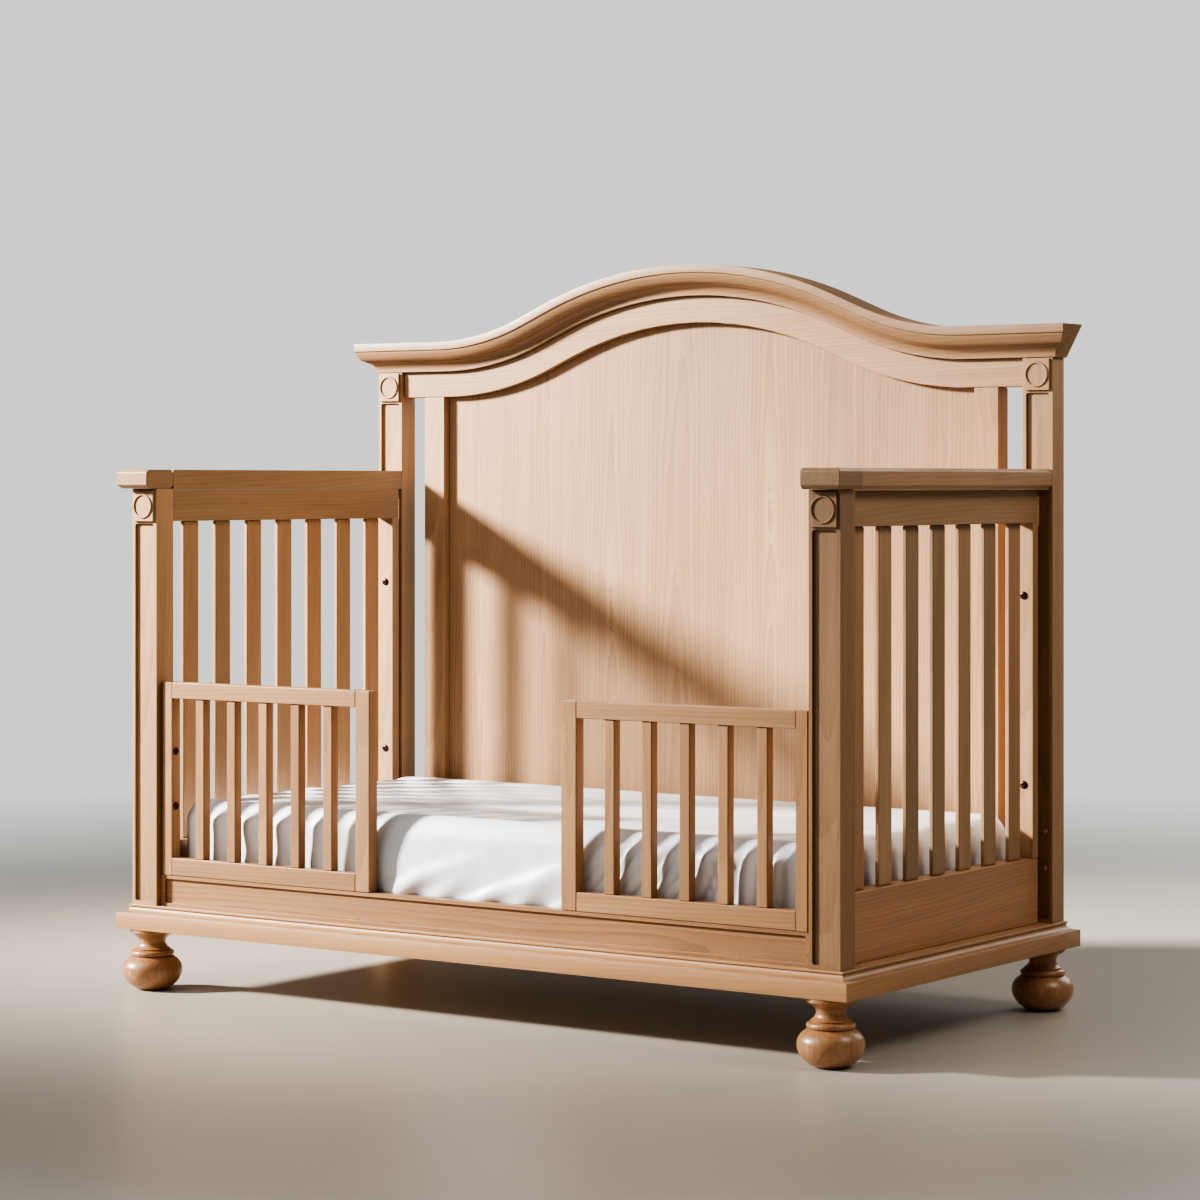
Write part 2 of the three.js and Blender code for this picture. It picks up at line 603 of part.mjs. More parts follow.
function addFront() {
  const bottom = FRONT_RAIL_TOP + GAP;
  addPiece('front_rail', frontRail(), frameWood);
  for (const [side, sign] of LEFT_AND_RIGHT) {
    addPiece(`guard_outer_stile_${side}`, guardOuterStile(sign, [bottom, GUARD_TOP]), frameWood);
    addPiece(`guard_inner_stile_${side}`,
      block([sign * GUARD_INNER_X, sign * (GUARD_INNER_X + GUARD_INNER_STILE_WIDTH)],
        [GUARD_Y, GUARD_Y + GUARD_THICKNESS], [bottom, GUARD_TOP]), frameWood);
    addPiece(`guard_ladder_${side}`, guardLadder(sign, bottom), slatWood);
    GUARD_BOLT_HEIGHTS.forEach((height, k) => {
      const piece = bolt(GUARD_BOLT_LENGTH).rotateZ(-sign * Math.PI / 2);
      piece.translate(sign * (GUARD_OUTER_STILE_X - GAP), GUARD_MIDDLE_Y, height);
      addPiece(`guard_bolt_${side}_${k + 1}`, piece, bronze);
    });
  }
}

// ---- mattress and its support -------------------------------------------------------------

// A slatted frame between the side rails: two end rails, two long rails and slats across them.
function mattressSupport() {
  const half = POST_INNER_X - GAP;
  const [front, back] = [MATTRESS_FRONT_Y + 2, MATTRESS_BACK_Y + 2];
  const [bottom, slatBottom] = [SUPPORT_TOP - 30, SUPPORT_TOP - 12];
  const ends = [-1, 1].map((sign) => block([sign * half, sign * (half - 40)], [front, back],
    [bottom, SUPPORT_TOP]));
  const longRails = [front, back - 40].map((y) => block([-half + 20, half - 20], [y, y + 40],
    [bottom, slatBottom + 1]));
  const slatCount = 11;
  const pitch = (2 * half - 40) / (slatCount + 1);
  const slats = Array.from({ length: slatCount }, (_, k) => {
    const middle = -half + 20 + (k + 1) * pitch;
    return block([middle - 30, middle + 30], [front, back], [slatBottom, SUPPORT_TOP]);
  });
  return join(...ends, ...longRails, ...slats);
}

function mattress() {
  const half = MATTRESS_LENGTH / 2;
  const edge = 14;
  const outline = roundedOutline(-half + edge, half - edge, -MATTRESS_BACK_Y + edge,
    -MATTRESS_FRONT_Y - edge, 30);
  const geometry = new THREE.ExtrudeGeometry(outline, {
    depth: MATTRESS_TOP - MATTRESS_BOTTOM - 2 * edge,
    bevelThickness: edge,
    bevelSize: edge,
    bevelSegments: 2,
    curveSegments: 4,
  });
  return geometry.rotateX(Math.PI).translate(0, 0, MATTRESS_TOP - edge);
}

addPlinth();
addFeet();
addPosts();
addSides();
addHeadboard();
addFront();
addPiece('mattress_support', mattressSupport(), supportWood);
addPiece('mattress', mattress(), satin);

export default crib;
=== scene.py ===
"""Baby crib in its toddler-bed form: the looks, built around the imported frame.

Metres. +X runs along the bed, +Y from the open front to the headboard, +Z up.
"""

import math

import bmesh
import bpy
import numpy as np
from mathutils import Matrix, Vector


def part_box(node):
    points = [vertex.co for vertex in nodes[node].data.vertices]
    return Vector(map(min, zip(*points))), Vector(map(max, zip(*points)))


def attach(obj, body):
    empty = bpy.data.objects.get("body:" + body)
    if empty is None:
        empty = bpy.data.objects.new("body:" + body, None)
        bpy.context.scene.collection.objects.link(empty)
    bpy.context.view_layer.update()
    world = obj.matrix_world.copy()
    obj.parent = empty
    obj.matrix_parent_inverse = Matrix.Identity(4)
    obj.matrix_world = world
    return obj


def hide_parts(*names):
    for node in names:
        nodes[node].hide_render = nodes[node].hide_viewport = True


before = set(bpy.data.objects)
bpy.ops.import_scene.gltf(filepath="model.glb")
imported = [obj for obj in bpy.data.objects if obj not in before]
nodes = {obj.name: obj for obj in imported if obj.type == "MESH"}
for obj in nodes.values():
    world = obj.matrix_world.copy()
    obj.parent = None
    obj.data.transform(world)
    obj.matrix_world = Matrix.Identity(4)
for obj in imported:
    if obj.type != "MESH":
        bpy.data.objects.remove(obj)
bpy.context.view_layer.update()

SIDES = (("left", -1), ("right", 1))
MM = 0.001

# ---- camera, floor and light ---------------------------------------------------------------

CAMERA_PLACE = (3.3971, -4.8003, 0.8941)
CAMERA_TURN = math.radians(35.095)
CAMERA_LENS = 101.88
CAMERA_SHIFT = -0.098
FLOOR_COLOUR = (0.50, 0.455, 0.395, 1)
SEEN_COLOUR = (0.60, 0.615, 0.595, 1)
AMBIENT_COLOUR = (0.78, 0.775, 0.77, 1)
AMBIENT_STRENGTH = 0.170
FLOOR_RADIUS = 4.2
KEY_DISTANCE = 8.0
KEY_POWER = 12600
KEY_TARGET = Vector((-0.80, 0.1, 0.78))
KEY_DIRECTION = Vector((-0.764, -0.511, 0.396))
KEY_SPREAD = math.radians(20)
# name, place, target, size, power in watts, colour
AREA_LIGHTS = (
    ("fill", (-2.2, -5.2, 2.4), (0, 0, 0.6), 3.2, 26, (1, 0.95, 0.88)),
    ("back", (0.8, 4.4, 2.6), (0, 0.3, 0.6), 3.0, 55, (1, 0.97, 0.93)),
    ("wash", (-2.0, -3.2, 3.2), (-2.0, -3.1, 0), 2.6, 40, (1, 0.97, 0.92)),
    ("side", (2.7, 0.2, 2.7), (0.7, 0, 0.8), 1.4, 26, (1, 0.94, 0.86)),
)


def add_camera():
    data = bpy.data.cameras.new("camera")
    data.sensor_width = 36
    data.lens = CAMERA_LENS
    data.shift_y = CAMERA_SHIFT
    data.clip_end = 200
    camera = bpy.data.objects.new("camera", data)
    camera.location = CAMERA_PLACE
    camera.rotation_euler = (math.radians(90), 0, CAMERA_TURN)
    bpy.context.collection.objects.link(camera)
    bpy.context.scene.camera = camera


def aim(light, location, target):
    light.location = location
    direction = Vector(target) - Vector(location)
    light.rotation_euler = direction.to_track_quat("-Z", "Y").to_euler()
    bpy.context.collection.objects.link(light)


def add_area_light(name, location, target, size, power, colour):
    data = bpy.data.lights.new(name, "AREA")
    data.shape = "DISK"
    data.size = size
    data.energy = power
    data.color = colour
    aim(bpy.data.objects.new(name, data), location, target)


def add_key_light():
    """A soft lamp from the left and in front, aimed left of the middle so that its light fades
    towards the right."""
    data = bpy.data.lights.new("key", "SPOT")
    data.energy = KEY_POWER
    data.color = (1, 0.975, 0.93)
    data.shadow_soft_size = 0.58
    data.spot_size = KEY_SPREAD
    data.spot_blend = 1.0
    place = KEY_TARGET + KEY_DISTANCE * KEY_DIRECTION
    aim(bpy.data.objects.new("key", data), place, KEY_TARGET)


def add_world():
    """A dim warm light from all round, behind a plain pale grey backdrop."""
    world = bpy.data.worlds.new("studio")
    bpy.context.scene.world = world
    world.use_nodes = True
    tree = world.node_tree
    ambient = tree.nodes["Background"]
    ambient.inputs["Strength"].default_value = AMBIENT_STRENGTH
    ambient.inputs["Color"].default_value = AMBIENT_COLOUR
    seen = tree.nodes.new("ShaderNodeBackground")
    seen.inputs["Color"].default_value = SEEN_COLOUR
    path = tree.nodes.new("ShaderNodeLightPath")
    choose = tree.nodes.new("ShaderNodeMixShader")
    tree.links.new(path.outputs["Is Camera Ray"], choose.inputs[0])
    tree.links.new(ambient.outputs[0], choose.inputs[1])
    tree.links.new(seen.outputs[0], choose.inputs[2])
    tree.links.new(choose.outputs[0], tree.nodes["World Output"].inputs[0])


def add_studio():
    add_world()
    add_key_light()
    for light in AREA_LIGHTS:
        add_area_light(*light)
    view = bpy.context.scene.view_settings
    view.view_transform = "AgX"
    view.look = "AgX - High Contrast"
    view.exposure = 0.22


# ---- shader helpers ------------------------------------------------------------------------


class Graph:
    """A material's node tree with short calls for the nodes used here."""

    def __init__(self, name):
        self.material = bpy.data.materials.new(name)
        self.material.use_nodes = True
        self.tree = self.material.node_tree
        self.shader = self.tree.nodes["Principled BSDF"]

    def node(self, kind, settings=None, **inputs):
        made = self.tree.nodes.new(kind)
        for key, value in (settings or {}).items():
            setattr(made, key, value)
        for key, value in inputs.items():
            self.feed(made.inputs[key.replace("_", " ")], value)
        return made

    def feed(self, socket, value):
        if isinstance(value, bpy.types.NodeSocket):
            self.tree.links.new(value, socket)
        elif value is not None:
            socket.default_value = value

    def math(self, operation, *values):
        made = self.tree.nodes.new("ShaderNodeMath")
        made.operation = operation
        for socket, value in zip(made.inputs, values):
            self.feed(socket, value)
        return made.outputs[0]

    def vector(self, operation, *values):
        made = self.tree.nodes.new("ShaderNodeVectorMath")
        made.operation = operation
        for socket, value in zip(made.inputs, values):
            self.feed(socket, value)
        return made.outputs[0]

    def noise(self, vector, scale, detail=3.0, roughness=0.55):
        made = self.node(
            "ShaderNodeTexNoise", Vector=vector, Scale=scale, Detail=detail, Roughness=roughness
        )
        return made.outputs[0]

    def ramp(self, value, stops):
        made = self.tree.nodes.new("ShaderNodeValToRGB")
        elements = made.color_ramp.elements
        while len(elements) < len(stops):
            elements.new(0.5)
        for element, (position, colour) in zip(elements, stops):
            element.position = position
            element.color = (*colour, 1)
        self.feed(made.inputs[0], value)
        return made.outputs[0]

    def remap(self, value, low, high, to_low, to_high):
        made = self.node("ShaderNodeMapRange", Value=value)
        for key, number in zip(("From Min", "From Max", "To Min", "To Max"),
                               (low, high, to_low, to_high)):
            made.inputs[key].default_value = number
        return made.outputs[0]

    def set(self, **values):
        for key, value in values.items():
            self.feed(self.shader.inputs[key.replace("_", " ")], value)

    def bump(self, height, strength, distance, normal=None):
        made = self.node("ShaderNodeBump", Height=height, Strength=strength, Distance=distance)
        self.feed(made.inputs["Normal"], normal)
        return made.outputs[0]


def seed_of(name):
    """A steady number from 0 to 1 for a name."""
    total = sum((k + 3) * ord(letter) * 131 for k, letter in enumerate(name))
    return (total % 9973) / 9973


# ---- wood ----------------------------------------------------------------------------------

OAK_LIGHT = np.array((0.535, 0.330, 0.182))
OAK_DARK = np.array((0.350, 0.198, 0.100))
FOOT_LIGHT = np.array((0.49, 0.275, 0.14))
FOOT_DARK = np.array((0.33, 0.150, 0.062))
PINE_LIGHT = np.array((0.74, 0.56, 0.34))
PINE_DARK = np.array((0.60, 0.40, 0.21))
GREYER = (0.82, 0.85, 0.87)
REDDER = (1.04, 0.95, 0.90)
BROWNER = (0.78, 0.72, 0.65)
GUARD_TONE = (0.90, 0.84, 0.77)
# Tuned to the photo. The right front post's darker tint is painted shade, for light that fades
# towards the right, and the greyer tint of the left upper rail, the left arm cap and both arm
# blocks is painted shade on faces turned from the light.
TINTS = {
    "crown": (0.74, 0.71, 0.67),
    # painted shade: darker, for light that fades towards the right
    "front_post_right": (0.74, 0.72, 0.70),
    "front_rail": (0.86, 0.78, 0.70),
    "plinth_front": (0.97, 0.89, 0.80),
    "plinth_right": (0.92, 0.84, 0.76),
    "side_slat_left_2": GREYER,
    "side_slat_left_5": REDDER,
    "side_slat_right_1": REDDER,
    "side_slat_right_3": GREYER,
    "side_slat_right_4": GREYER,
    "side_slat_right_6": GREYER,
    # painted shade: greyer and darker on these faces turned from the light
    "side_upper_rail_left": GREYER,
    "arm_cap_left": GREYER,
    "arm_block_left": GREYER,
    "arm_block_right": GREYER,
    "side_lower_rail_left": REDDER,
    "side_lower_rail_right": REDDER,
    "guard_slat_2_left": BROWNER,
    "guard_slat_4_left": BROWNER,
    "guard_slat_3_right": BROWNER,
    "guard_bottom_rail_left": BROWNER,
}


def tint_of(name):
    """A board's tone: its entry above, with a small steady change from board to board."""
    usual = GUARD_TONE if name.startswith("guard") else (1, 1, 1)
    return np.array(TINTS.get(name, usual)) * (0.95 + 0.07 * seed_of(name + "tone"))


def wood(name, grain, centre, light=OAK_LIGHT, dark=OAK_DARK, roughness=0.45, coat=0.12,
         plank=0.0, cathedral=0.11, figure=0.28):
    """Varnished timber. grain is the axis its fibres run along, centre the middle of the piece,
    plank the width of the boards it is glued from, cathedral the distance from the pith, and
    figure how strongly the growth rings show. Edges that stand out are lighter, in patches:
    wear and a painted highlight."""
    g = Graph("wood_" + name)
    seed = seed_of(name)
    place = g.tree.nodes.new("ShaderNodeTexCoord").outputs["Object"]
    local = g.vector("SUBTRACT", place, tuple(centre))
    split = g.node("ShaderNodeSeparateXYZ", Vector=local).outputs
    order = {"x": (0, 1, 2), "y": (1, 0, 2), "z": (2, 0, 1)}[grain]
    along, across, deep = (split[k] for k in order)
    tone = None
    if plank:
        board = g.math("FLOOR", g.math("ADD", g.math("DIVIDE", across, plank), 0.5 + seed))
        white = g.tree.nodes.new("ShaderNodeTexWhiteNoise")
        white.noise_dimensions = "1D"
        g.feed(white.inputs["W"], g.math("ADD", board, 10 * seed))
        tone = white.outputs["Value"]
        middle = g.math("MULTIPLY", g.math("SUBTRACT", board, seed), plank)
        shift = g.math("MULTIPLY_ADD", tone, 0.1, -0.05)
        across = g.math("ADD", g.math("SUBTRACT", across, middle), shift)
        along = g.math("MULTIPLY_ADD", tone, 3.0, along)
    joined = g.node("ShaderNodeCombineXYZ", X=along, Y=across, Z=deep).outputs[0]
    turned = g.node("ShaderNodeMapping", Vector=joined)
    turned.inputs["Location"].default_value = (
        7 * seed, 0.05 * (seed - 0.5), cathedral * (0.8 + 0.5 * seed))
    turned.inputs["Rotation"].default_value = (
        0, math.radians(1.6 * (0.6 + seed)), math.radians(1.4 * (seed - 0.4)))
    base = turned.outputs[0]
    sway = g.node("ShaderNodeTexNoise", Vector=g.vector("MULTIPLY", base, (2.2, 9, 9)),
                  Scale=1.0, Detail=2.0).outputs["Color"]
    bent = g.vector("ADD", base, g.vector("MULTIPLY", g.vector("SUBTRACT", sway, (0.5,) * 3),
                                          (0, 0.022, 0.022)))
    rings = g.node("ShaderNodeTexWave",
                   {"wave_type": "RINGS", "rings_direction": "X", "wave_profile": "SAW"},
                   Vector=bent, Scale=44.0, Distortion=1.2, Detail=2.0, Detail_Scale=1.5,
                   Detail_Roughness=0.6).outputs["Fac"]
    streak = g.noise(g.vector("MULTIPLY", bent, (1.4, 52, 52)), 1.0, 3.0, 0.6)
    grain_line = g.noise(g.vector("MULTIPLY", bent, (2.5, 150, 150)), 1.0, 2.0, 0.6)
    fibre = g.noise(g.vector("MULTIPLY", bent, (9, 480, 480)), 1.0, 3.0, 0.6)
    cloud = g.noise(g.vector("MULTIPLY", base, (2.0, 5, 5)), 1.0, 2.0)
    pits = g.noise(g.vector("MULTIPLY", bent, (26, 1100, 1100)), 1.0, 1.0)
    pores = g.remap(pits, 0.60, 0.72, 0, 1)
    value = g.math("MULTIPLY", g.math("POWER", rings, 1.6), figure)
    for layer, weight in ((streak, 0.24), (grain_line, 0.20), (fibre, 0.20), (cloud, 0.24)):
        value = g.math("MULTIPLY_ADD", g.remap(layer, 0.3, 0.7, 0, 1), weight, value)
    value = g.math("MULTIPLY_ADD", pores, 0.12, value)
    if plank:
        value = g.math("MULTIPLY_ADD", g.math("SUBTRACT", tone, 0.5), 0.34, value)
    tint = tint_of(name)
    colour = g.ramp(value, (
        (0.12, tuple(light * tint)),
        (0.50, tuple((0.45 * light + 0.55 * dark) * tint)),
        (0.95, tuple(dark * tint * 0.93))))
    # painted highlight and wear: lighter along edges that stand out, in noisy patches
    edge = g.node("ShaderNodeNewGeometry").outputs["Pointiness"]
    worn = g.math("MULTIPLY", g.remap(edge, 0.56, 0.68, 0, 1), g.remap(cloud, 0.35, 0.6, 0.35, 1))
    rubbed_and_highlit = g.node("ShaderNodeMix", {"data_type": "RGBA"})
    g.feed(rubbed_and_highlit.inputs[0], g.math("MULTIPLY", worn, 0.45))
    g.feed(rubbed_and_highlit.inputs[6], colour)
    rubbed_and_highlit.inputs[7].default_value = (*(light * tint * 1.22), 1)
    colour = rubbed_and_highlit.outputs[2]
    rough = g.remap(fibre, 0.3, 0.7, roughness - 0.06, roughness + 0.07)
    sunk = g.math("MULTIPLY", g.math("ADD", rings, pores), -0.25)
    height = g.math("MULTIPLY_ADD", fibre, 0.6, sunk)
    g.set(Base_Color=colour, Roughness=rough, Normal=g.bump(height, 0.22, 0.0004))
    g.set(Coat_Weight=coat, Coat_Roughness=0.28, IOR=1.5)
    return g.material


def metal(name, colour, roughness):
    g = Graph(name)
    place = g.tree.nodes.new("ShaderNodeTexCoord").outputs["Object"]
    mottled = g.noise(place, 900.0, 4.0)
    worn = g.noise(place, 160.0, 3.0)
    dark = tuple(0.7 * c for c in colour)
    bright = tuple(min(1, 1.9 * c) for c in colour)
    g.set(Base_Color=g.ramp(worn, ((0.35, dark), (0.55, colour), (0.75, bright))),
          Roughness=g.remap(mottled, 0.3, 0.7, roughness - 0.08, roughness + 0.1),
          Metallic=0.85, Normal=g.bump(mottled, 0.15, 0.0002))
    return g.material


def satin(name, colour, shade, roughness, gloss=0.28):
    """Woven satin: fine threads both ways, a soft sheen and faint crumpling, with painted shade, a
    dark grey, where the mesh curves inwards."""
    g = Graph(name)
    place = g.tree.nodes.new("ShaderNodeTexCoord").outputs["Object"]
    warp = g.noise(g.vector("MULTIPLY", place, (90, 2600, 2600)), 1.0, 2.0)
    weft = g.noise(g.vector("MULTIPLY", place, (2600, 90, 90)), 1.0, 2.0)
    crumple = g.noise(place, 26.0, 4.0, 0.6)
    soft = g.noise(place, 5.0, 2.0)
    weave = g.math("ADD", g.math("MULTIPLY", warp, 0.7), g.math("MULTIPLY", weft, 0.3))
    tone = g.math("ADD", g.math("MULTIPLY", weave, 0.5), g.math("MULTIPLY", soft, 0.5))
    bend = g.node("ShaderNodeNewGeometry").outputs["Pointiness"]
    # painted shade: dark grey mixed in where the mesh curves inwards
    crease_shade = g.node("ShaderNodeMix", {"data_type": "RGBA"})
    g.feed(crease_shade.inputs[0], g.remap(bend, 0.465, 0.497, 0.7, 0))
    g.feed(crease_shade.inputs[6], g.ramp(tone, ((0.3, shade), (0.62, colour))))
    crease_shade.inputs[7].default_value = (0.30, 0.31, 0.335, 1)
    g.set(Base_Color=crease_shade.outputs[2],
          Roughness=g.remap(crumple, 0.3, 0.7, roughness - 0.05, roughness + 0.08),
          Normal=g.bump(weave, 0.10, 0.0003, g.bump(crumple, 0.10, 0.004)))
    g.set(Sheen_Weight=0.04, Sheen_Roughness=0.4, Specular_IOR_Level=gloss)
    return g.material


def paint(piece, *materials):
    piece.data.materials.clear()
    for material in materials:
        piece.data.materials.append(material)


# ---- mesh helpers --------------------------------------------------------------------------


def new_piece(name, vertices, faces, smooth_angle=35.0):
    mesh = bpy.data.meshes.new(name)
    mesh.from_pydata([tuple(v) for v in vertices], [], faces)
    mesh.validate()
    piece = bpy.data.objects.new(name, mesh)
    bpy.context.collection.objects.link(piece)
    smooth(piece, smooth_angle)
    return piece


def smooth(piece, angle):
    mesh = piece.data
    mesh.polygons.foreach_set("use_smooth", [True] * len(mesh.polygons))
    mesh.set_sharp_from_angle(angle=math.radians(angle))


def bevel(piece, width, segments=2, angle=38.0, clean=True):
    """Rounds a piece's edges with modifiers, after joining the facets of each flat face."""
    if clean:
        weld = piece.modifiers.new("weld", "WELD")
        weld.merge_threshold = 0.02 * MM
        flat = piece.modifiers.new("flat", "DECIMATE")
        flat.decimate_type = "DISSOLVE"
        flat.angle_limit = math.radians(0.4)
    made = piece.modifiers.new("bevel", "BEVEL")
    made.width = width
    made.segments = segments
    made.limit_method = "ANGLE"
    made.angle_limit = math.radians(angle)
    made.harden_normals = True
    made.miter_outer = "MITER_ARC"
    return piece


def finish_piece(piece, body="frame", replaced=()):
    if replaced:
        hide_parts(*replaced)
    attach(piece, body)


def arc(centre_a, centre_b, radius_a, radius_b, start, end, steps):
    """Points of an elliptic arc, angles in degrees."""
    return [
        (centre_a + radius_a * math.cos(math.radians(start + (end - start) * k / steps)),
         centre_b + radius_b * math.sin(math.radians(start + (end - start) * k / steps)))
        for k in range(steps + 1)
    ]


def lathe(name, outline, centre, segments=96):
    """A turned solid about a vertical axis, from (radius, height) pairs in millimetres."""
    vertices, faces = [], []
    for radius, height in outline:
        for k in range(segments):
            angle = 2 * math.pi * k / segments
            vertices.append((centre[0] + radius * MM * math.cos(angle),
                             centre[1] + radius * MM * math.sin(angle),
                             centre[2] + height * MM))
    rings = len(outline)
    for ring in range(rings - 1):
        for k in range(segments):
            a, b = ring * segments + k, ring * segments + (k + 1) % segments
            faces.append((a, b, b + segments, a + segments))
    faces.append(tuple(reversed(range(segments))))
    faces.append(tuple((rings - 1) * segments + k for k in range(segments)))
    return new_piece(name, vertices, faces, 50)


def loft(name, rings, smooth_angle=24.0):
    """A closed skin through rings of the same number of points, capped at both ends."""
    size = len(rings[0])
    vertices = [point for ring in rings for point in ring]
    faces = []
    for ring in range(len(rings) - 1):
        for k in range(size):
            a, b = ring * size + k, ring * size + (k + 1) % size
            faces.append((a, b, b + size, a + size))
    faces.append(tuple(reversed(range(size))))
    last = (len(rings) - 1) * size
    faces.append(tuple(last + k for k in range(size)))
    piece = new_piece(name, vertices, faces, smooth_angle)
    clean = bmesh.new()
    clean.from_mesh(piece.data)
    bmesh.ops.recalc_face_normals(clean, faces=clean.faces)
    clean.to_mesh(piece.data)
    clean.free()
    smooth(piece, smooth_angle)
    return piece


def block(name, low, high, width=1.2 * MM, segments=3):
    """A board between two corners, its faces cut into a grid and its edges rounded."""
    low, high = Vector(low), Vector(high)
    cell = 0.06
    cuts = [max(1, round((b - a) / cell)) for a, b in zip(low, high)]
    mesh = bmesh.new()
    bmesh.ops.create_cube(mesh, size=1)
    for vertex in mesh.verts:
        for axis in range(3):
            vertex.co[axis] = low[axis] if vertex.co[axis] < 0 else high[axis]
    for axis, count in enumerate(cuts):
        step = (high[axis] - low[axis]) / count
        for k in range(1, count):
            place, normal = Vector(low), Vector((0, 0, 0))
            place[axis] += k * step
            normal[axis] = 1
            bmesh.ops.bisect_plane(mesh, geom=mesh.verts[:] + mesh.edges[:] + mesh.faces[:],
                                   plane_co=place, plane_no=normal)
    data = bpy.data.meshes.new(name)
    mesh.to_mesh(data)
    mesh.free()
    piece = bpy.data.objects.new(name, data)
    bpy.context.collection.objects.link(piece)
    smooth(piece, 60)
    return bevel(piece, width, segments, clean=False)


# ---- wooden pieces carried over from the CAD model -----------------------------------------


def middle_of(node):
    low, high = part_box(node)
    return (low + high) / 2


SIDE_SLATS = 7
# grain, width of the rounded edges, nodes
CARRIED = (
    ("z", 1.4 * MM, ("front_post", "back_post")),
    ("y", 0.8 * MM, ("arm_cap",)),
    ("y", 1.2 * MM, ("arm_block",)),
    ("y", 1.6 * MM, ("side_upper_rail", "side_lower_rail")),
    ("z", 1.6 * MM, ("side_stile", "headboard_stile")),
    ("z", 1.8 * MM, ("guard_inner_stile", "guard_outer_stile")),
)


def clear_normals(piece):
    """Drops the CAD model's stored normals, so that the rounded edges shade smoothly."""
    if "custom_normal" in piece.data.attributes:
        piece.data.attributes.remove(piece.data.attributes["custom_normal"])
    smooth(piece, 180)


def dress(node, grain, width, **look):
    piece = nodes[node]
    clear_normals(piece)
    paint(piece, wood(node, grain, middle_of(node), **look))
    bevel(piece, width)


def dress_frame():
    for grain, width, stems in CARRIED:
        for stem in stems:
            for side, _ in SIDES:
                dress(f"{stem}_{side}", grain, width)
    for side, _ in SIDES:
        for k in range(1, SIDE_SLATS + 1):
            dress(f"side_slat_{side}_{k}", "z", 2.0 * MM)
    dress("headboard_arched_rail", "x", 1.4 * MM)
    dress("headboard_lower_rail", "x", 1.4 * MM)
    dress("headboard_panel", "z", 0.6 * MM, plank=0.17, cathedral=0.035, figure=0.42)
    dress("front_rail", "x", 1.4 * MM, cathedral=0.03, figure=0.42)
    dress("mattress_support", "y", 1.0 * MM, light=PINE_LIGHT, dark=PINE_DARK, roughness=0.65,
          coat=0.0)
    bronze = metal("bronze", (0.075, 0.036, 0.028), 0.34)
    for kind in ("side", "guard"):
        for side, _ in SIDES:
            for k in (1, 2):
                piece = nodes[f"{kind}_bolt_{side}_{k}"]
                clear_normals(piece)
                bevel(piece, 0.3 * MM, 2, 42)
                paint(piece, bronze)


# ---- turned feet ---------------------------------------------------------------------------

FOOT_HEIGHT = 106.7
FOOT_OUTLINE = [
    *arc(0, 35.8, 52.7, 40, -63.5, 0, 14),
    *arc(0, 35.8, 52.7, 32, 5, 46, 8),
    *arc(34, 64.2, 4.2, 4.8, -85, 85, 10),
    (30.5, 70.2),
    *arc(36.5, 84, 13.3, 12.5, 248, 112, 16),
    *arc(35.5, 102.5, 3.2, 3.2, -85, 20, 8),
    (38.7, 104.6),
    (38.7, FOOT_HEIGHT),
]


def add_feet():
    for row in ("front", "back"):
        for side, _ in SIDES:
            node = f"foot_{row}_{side}"
            centre = middle_of(node)
            foot = lathe(f"{node}_turned", FOOT_OUTLINE, (centre.x, centre.y, 0))
            paint(foot, wood(node, "z", centre, light=FOOT_LIGHT, dark=FOOT_DARK, roughness=0.36,
                             coat=0.30, cathedral=0.03))
            finish_piece(foot, replaced=(node,))


# ---- plinth --------------------------------------------------------------------------------

PLINTH_TOP = 150
PLINTH_GAP = 0.3 * MM
PLINTH_PROFILE = [
    (1.0, 107), (0.3, 107.3), (0, 108), (0, 133.8), (0.35, 134.7), (1.2, 135),
    (5.0, 135), (5.5, 135.2),
    *arc(5.5, PLINTH_TOP - 4.2, 12.5, 10, -88, -2, 14),
    (17.4, 146.0), (16.3, 146.2), (16, 146.8), (16, 149.2), (16.4, 149.8), (17.2, 150),
]


def plinth_board(name, corners_at, replaced, grain):
    rings = []
    for inset, height in PLINTH_PROFILE:
        rings.append([(x, y, height * MM) for x, y in corners_at(inset * MM)])
    board = loft(name, rings)
    paint(board, wood(replaced, grain, middle_of(replaced)))
    finish_piece(board, replaced=(replaced,))


def add_plinth():
    low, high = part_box("plinth_front")
    half, front = high.x, low.y
    inner = high.y
    joint, back = (corner.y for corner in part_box("plinth_back"))
    width = high.y - low.y
    plinth_board("plinth_board_front", lambda i: [
        (-half + i, front + i), (half - i, front + i),
        (half - width, inner), (-half + width, inner)], "plinth_front", "x")
    plinth_board("plinth_board_back", lambda i: [
        (-half + i, joint), (half - i, joint), (half - i, back - i), (-half + i, back - i)],
        "plinth_back", "x")
    for side, sign in SIDES:
        plinth_board(f"plinth_board_{side}", lambda i, s=sign: [
            (s * (half - i), front + i + PLINTH_GAP), (s * (half - i), joint - PLINTH_GAP),
            (s * (half - width), joint - PLINTH_GAP), (s * (half - width), inner + PLINTH_GAP)],
            f"plinth_{side}", "y")


# ---- crown ---------------------------------------------------------------------------------

CROWN_HEIGHT = 55.5
CROWN_OVERHANG = 32
CROWN_PROFILE = [
    (0, CROWN_OVERHANG - 1.2), (0.3, CROWN_OVERHANG - 0.3), (1.1, CROWN_OVERHANG),
    (14.2, CROWN_OVERHANG), (15.0, CROWN_OVERHANG - 0.4), (15.3, CROWN_OVERHANG - 1.4),
    (16.6, CROWN_OVERHANG - 2.8),
    *arc(8.2, 16.6, 25.8, 13.6, 68, 2, 14),
    (34.2, 16.4), (34.9, 15.4), (36.0, 15.0),
    *arc(51.5, 14.4, 15.5, 12.2, 184, 262, 12),
    (52.0, 2.2), (54.6, 2.2), (55.3, 1.8), (CROWN_HEIGHT, 1.2),
]
ARCH = {"rise": 126.7, "top": 800.0, "shoulder": 500.0, "angle": math.radians(23)}


